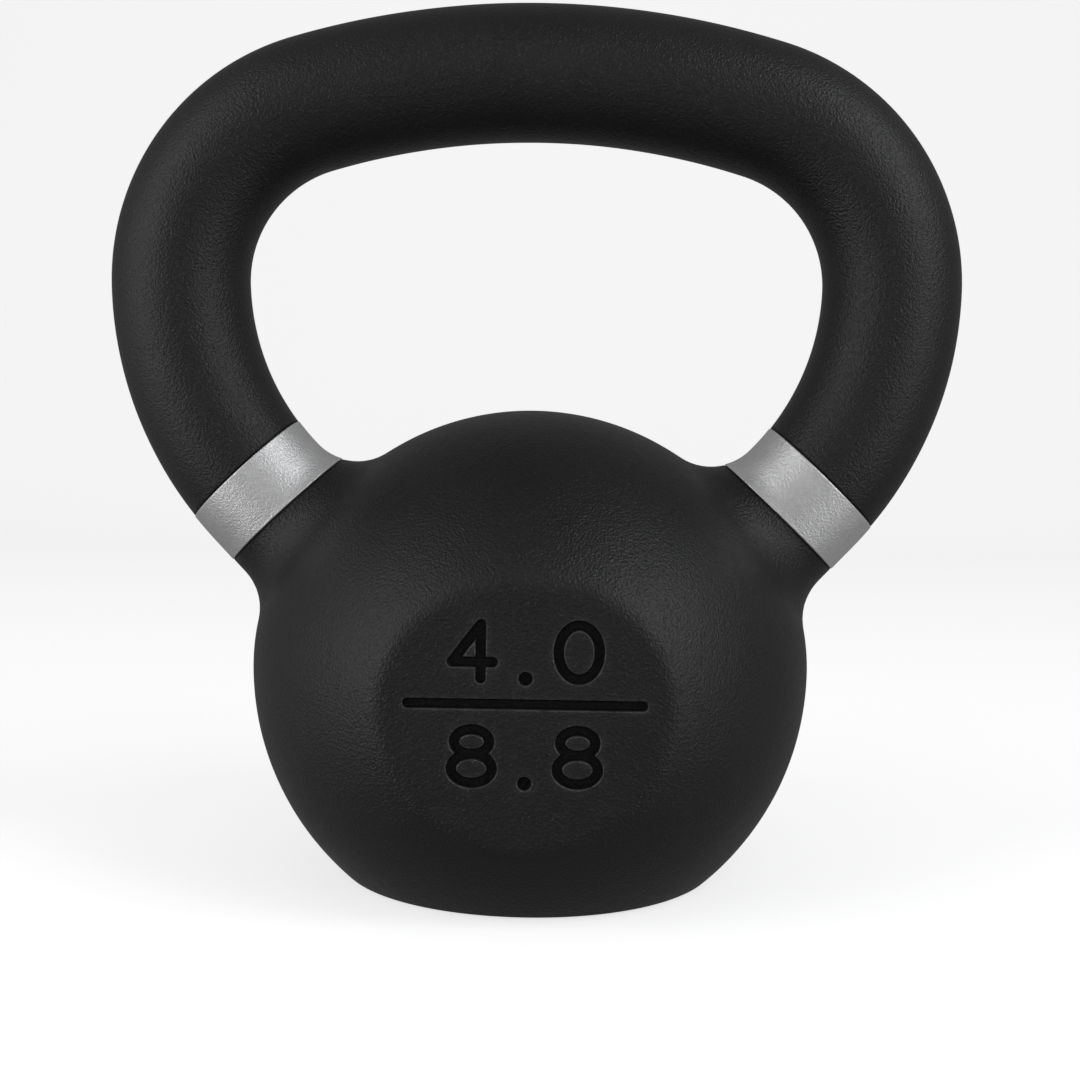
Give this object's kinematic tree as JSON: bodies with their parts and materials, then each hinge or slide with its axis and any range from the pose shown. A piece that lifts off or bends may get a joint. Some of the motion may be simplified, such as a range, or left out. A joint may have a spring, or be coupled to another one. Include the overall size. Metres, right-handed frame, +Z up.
{
  "type": "kettlebell",
  "caption": "Cast-iron kettlebell: a squat ball with a flat base and flat faces, a thick loop handle, a black powder coat and silver colour bands.",
  "frame": {"origin": "centre of the flat base, on the surface that the kettlebell stands on", "axes": "+Z up through the ball and the middle of the handle, +X along the handle's width, and the marked flat face looks towards -Y"},
  "size_m": [0.1498, 0.087, 0.1529],
  "materials": {
    "grey_iron": "matte",
    "black_powder_coat": "satin",
    "silver_powder_coat": "satin"
  },
  "bodies": {
    "root": {"iron_casting": "grey_iron", "bell_coat": "black_powder_coat", "base_coat": "black_powder_coat", "handle_coat": "black_powder_coat", "left_band": "silver_powder_coat", "right_band": "silver_powder_coat"}
  },
  "joints": []
}
